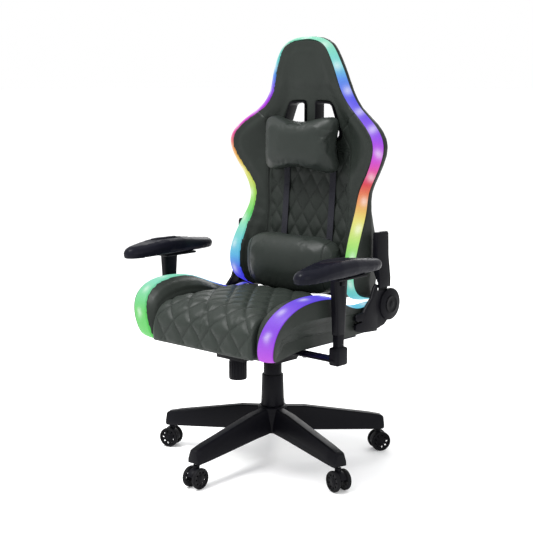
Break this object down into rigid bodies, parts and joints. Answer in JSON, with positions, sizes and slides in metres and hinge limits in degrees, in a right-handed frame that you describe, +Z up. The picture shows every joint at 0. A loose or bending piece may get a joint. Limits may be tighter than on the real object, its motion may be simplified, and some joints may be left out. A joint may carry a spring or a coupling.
{
  "type": "gaming chair",
  "caption": "Racing-style gaming chair with quilted seat and back, neck and lumbar pillows, rainbow light bands along its edges, height-adjustable arms and a star base on casters.",
  "frame": {"origin": "on the floor, under the middle of the whole chair's box", "axes": "+Z up; the chair faces -Y, and its own left side, as seen by a person sitting in it, is +X"},
  "size_m": [0.7476, 0.6901, 1.2545],
  "materials": {
    "leatherette": "dark green-grey synthetic leather with a fine grain, low sheen, diamond quilting on the seat and the back",
    "pillow": "slightly lighter green-grey synthetic leather, low sheen",
    "light_band": "translucent woven light diffuser, lit from inside in a rainbow that runs round the backrest and the seat",
    "plastic": "black moulded plastic, fine texture",
    "arm_pad": "soft blue-black skin foam with a satin sheen",
    "webbing": "woven black strap",
    "steel": "black powder-coated steel",
    "wood": "plain plywood, hidden under the cushion"
  },
  "bodies": {
    "base": {"star_base": "plastic", "gas_outer_tube": "steel", "column_cover_lower": "plastic"},
    "lift": {"gas_cylinder": "steel", "column_cover_upper": "plastic"},
    "swivel": {"mechanism_housing": "steel", "tilt_pin": "steel", "tension_spring": "steel"},
    "knob": {"tension_knob": "plastic"},
    "lift_lever": {"height_lever": "plastic"},
    "seat": {"seat_plate": "steel", "seat_board": "wood", "seat_cushion": "leatherette", "seat_bolster_left": "leatherette", "seat_bolster_right": "leatherette", "seat_light_band_left": "light_band", "seat_light_band_right": "light_band", "seat_side_panel_left": "leatherette", "seat_side_panel_right": "leatherette", "arm_bracket_left": "steel", "arm_bracket_right": "steel", "recliner_seat_bracket_left": "steel", "recliner_seat_bracket_right": "steel", "recliner_lower_cover_left": "plastic", "recliner_lower_cover_right": "plastic"},
    "arm_left": {"arm_sleeve_left": "plastic", "arm_pad_left": "arm_pad"},
    "arm_right": {"arm_sleeve_right": "plastic", "arm_pad_right": "arm_pad"},
    "button_left": {"arm_button_left": "plastic"},
    "button_right": {"arm_button_right": "plastic"},
    "latch_lever": {"recline_lever": "plastic"},
    "backrest": {"back_frame": "steel", "back_front_pad": "leatherette", "back_light_band": "light_band", "back_rear_cover": "leatherette", "strap_bezel_left": "plastic", "strap_bezel_right": "plastic", "lumbar_straps": "webbing", "recliner_back_bracket_left": "steel", "recliner_back_bracket_right": "steel", "recliner_upper_cover_left": "plastic", "recliner_upper_cover_right": "plastic"},
    "neck_cushion": {"head_pillow": "pillow"},
    "lumbar_cushion": {"lumbar_pillow": "pillow"},
    "fork_1": {"caster_housing_1": "plastic"},
    "wheels_1": {"caster_wheel_a_1": "plastic", "caster_wheel_b_1": "plastic"},
    "fork_2": {"caster_housing_2": "plastic"},
    "wheels_2": {"caster_wheel_a_2": "plastic", "caster_wheel_b_2": "plastic"},
    "fork_3": {"caster_housing_3": "plastic"},
    "wheels_3": {"caster_wheel_a_3": "plastic", "caster_wheel_b_3": "plastic"},
    "fork_4": {"caster_housing_4": "plastic"},
    "wheels_4": {"caster_wheel_a_4": "plastic", "caster_wheel_b_4": "plastic"},
    "fork_5": {"caster_housing_5": "plastic"},
    "wheels_5": {"caster_wheel_a_5": "plastic", "caster_wheel_b_5": "plastic"}
  },
  "joints": [
    {"name": "caster_swivel_1", "type": "hinge", "parent": "base", "child": "fork_1", "pos_m": [0.01522, -0.31015, 0.08], "axis": [0, 0, 1], "continuous": true},
    {"name": "caster_roll_1", "type": "hinge", "parent": "fork_1", "child": "wheels_1", "pos_m": [0.0154, -0.31415, 0.03], "axis": [0.999, 0.0454, 0], "continuous": true},
    {"name": "caster_swivel_2", "type": "hinge", "parent": "base", "child": "fork_2", "pos_m": [0.32345, -0.06409, 0.08], "axis": [0, 0, 1], "continuous": true},
    {"name": "caster_roll_2", "type": "hinge", "parent": "fork_2", "child": "wheels_2", "pos_m": [0.32731, -0.06516, 0.03], "axis": [0.2656, 0.9641, 0], "continuous": true},
    {"name": "caster_swivel_3", "type": "hinge", "parent": "base", "child": "fork_3", "pos_m": [0.18469, 0.30509, 0.08], "axis": [0, 0, 1], "continuous": true},
    {"name": "caster_roll_3", "type": "hinge", "parent": "fork_3", "child": "wheels_3", "pos_m": [0.18689, 0.30843, 0.03], "axis": [-0.8348, 0.5505, 0], "continuous": true},
    {"name": "caster_swivel_4", "type": "hinge", "parent": "base", "child": "fork_4", "pos_m": [-0.20931, 0.2872, 0.08], "axis": [0, 0, 1], "continuous": true},
    {"name": "caster_roll_4", "type": "hinge", "parent": "fork_4", "child": "wheels_4", "pos_m": [-0.21181, 0.29033, 0.03], "axis": [-0.7815, -0.6239, 0], "continuous": true},
    {"name": "caster_swivel_5", "type": "hinge", "parent": "base", "child": "fork_5", "pos_m": [-0.31405, -0.09304, 0.08], "axis": [0, 0, 1], "continuous": true},
    {"name": "caster_roll_5", "type": "hinge", "parent": "fork_5", "child": "wheels_5", "pos_m": [-0.31779, -0.09445, 0.03], "axis": [0.3518, -0.9361, 0], "continuous": true},
    {"name": "seat_height", "type": "slide", "parent": "base", "child": "lift", "axis": [0, 0, 1], "range_m": [0, 0.085]},
    {"name": "seat_swivel", "type": "hinge", "parent": "lift", "child": "swivel", "pos_m": [0, 0.025, 0.305], "axis": [0, 0, 1], "continuous": true},
    {"name": "tension_turn", "type": "hinge", "parent": "swivel", "child": "knob", "pos_m": [0, -0.125, 0.3], "axis": [0, 0, 1], "continuous": true},
    {"name": "height_lever_lift", "type": "hinge", "parent": "swivel", "child": "lift_lever", "pos_m": [-0.045, 0.047, 0.35], "axis": [0, 1, 0], "range_deg": [0, 4], "stiffness_Nm_per_rad": 0.5, "springref_deg": -17.19},
    {"name": "seat_tilt", "type": "hinge", "parent": "swivel", "child": "seat", "pos_m": [0, -0.035, 0.345], "axis": [-1, 0, 0], "range_deg": [0, 10], "stiffness_Nm_per_rad": 150, "springref_deg": -9.17},
    {"name": "arm_height_left", "type": "slide", "parent": "seat", "child": "arm_left", "axis": [0, 0, 1], "range_m": [-0.03, 0.04]},
    {"name": "arm_height_right", "type": "slide", "parent": "seat", "child": "arm_right", "axis": [0, 0, 1], "range_m": [-0.03, 0.04]},
    {"name": "arm_button_press_left", "type": "slide", "parent": "arm_left", "child": "button_left", "axis": [-1, 0, 0], "range_m": [0, 0.0015], "stiffness_N_per_m": 60, "springref_m": -0.002},
    {"name": "arm_button_press_right", "type": "slide", "parent": "arm_right", "child": "button_right", "axis": [1, 0, 0], "range_m": [0, 0.0015], "stiffness_N_per_m": 60, "springref_m": -0.002},
    {"name": "recline_lever_lift", "type": "hinge", "parent": "seat", "child": "latch_lever", "pos_m": [-0.281, 0.125, 0.462], "axis": [-1, 0, 0], "range_deg": [0, 25], "stiffness_Nm_per_rad": 0.3, "springref_deg": -17.19},
    {"name": "back_recline", "type": "hinge", "parent": "seat", "child": "backrest", "pos_m": [0, 0.22, 0.482], "axis": [-1, 0, 0], "range_deg": [0, 45]},
    {"name": "neck_cushion_height", "type": "slide", "parent": "backrest", "child": "neck_cushion", "axis": [0, 0, 1], "range_m": [-0.04, 0.03]},
    {"name": "lumbar_cushion_height", "type": "slide", "parent": "backrest", "child": "lumbar_cushion", "axis": [0, 0, 1], "range_m": [0, 0.06]}
  ]
}
